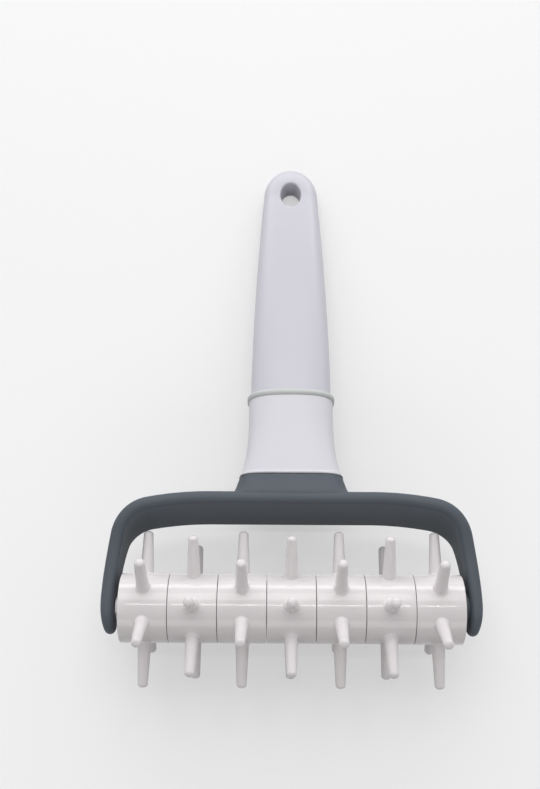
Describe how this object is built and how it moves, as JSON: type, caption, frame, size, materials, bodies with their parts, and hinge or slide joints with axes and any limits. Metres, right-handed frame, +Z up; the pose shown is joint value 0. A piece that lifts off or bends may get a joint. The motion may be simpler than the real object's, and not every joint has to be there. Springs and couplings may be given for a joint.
{
  "type": "dough docker",
  "caption": "Hand-held dough docker: spiked rings turn together on an axle in a strap yoke, with a flattened tapered handle that ends in an oval hang hole.",
  "frame": {"origin": "on the surface the tool lies on, at the middle of its footprint", "axes": "+X along the axle, +Y from the roller towards the handle's end, +Z up from the surface; the handle slopes down to it by about 7 degrees"},
  "size_m": [0.1264, 0.2068, 0.0513],
  "materials": {
    "yoke_plastic": "satin dark grey moulded plastic",
    "axle_steel": "plain drawn steel rod",
    "ferrule_plastic": "satin white moulded plastic",
    "collar_plastic": "cloudy greenish grey plastic",
    "grip_plastic": "smooth pale bluish white plastic",
    "ring_plastic": "glossy white moulded plastic"
  },
  "bodies": {
    "frame": {"yoke": "yoke_plastic", "axle": "axle_steel", "ferrule": "ferrule_plastic", "collar": "collar_plastic", "grip": "grip_plastic"},
    "roller": {"spiked_ring_1": "ring_plastic", "spiked_ring_2": "ring_plastic", "spiked_ring_3": "ring_plastic", "spiked_ring_4": "ring_plastic", "spiked_ring_5": "ring_plastic", "spiked_ring_6": "ring_plastic", "spiked_ring_7": "ring_plastic"}
  },
  "joints": [
    {"name": "roller_spin", "type": "hinge", "parent": "frame", "child": "roller", "pos_m": [0, -0.07778, 0.02565], "axis": [1, 0, 0], "continuous": true}
  ]
}
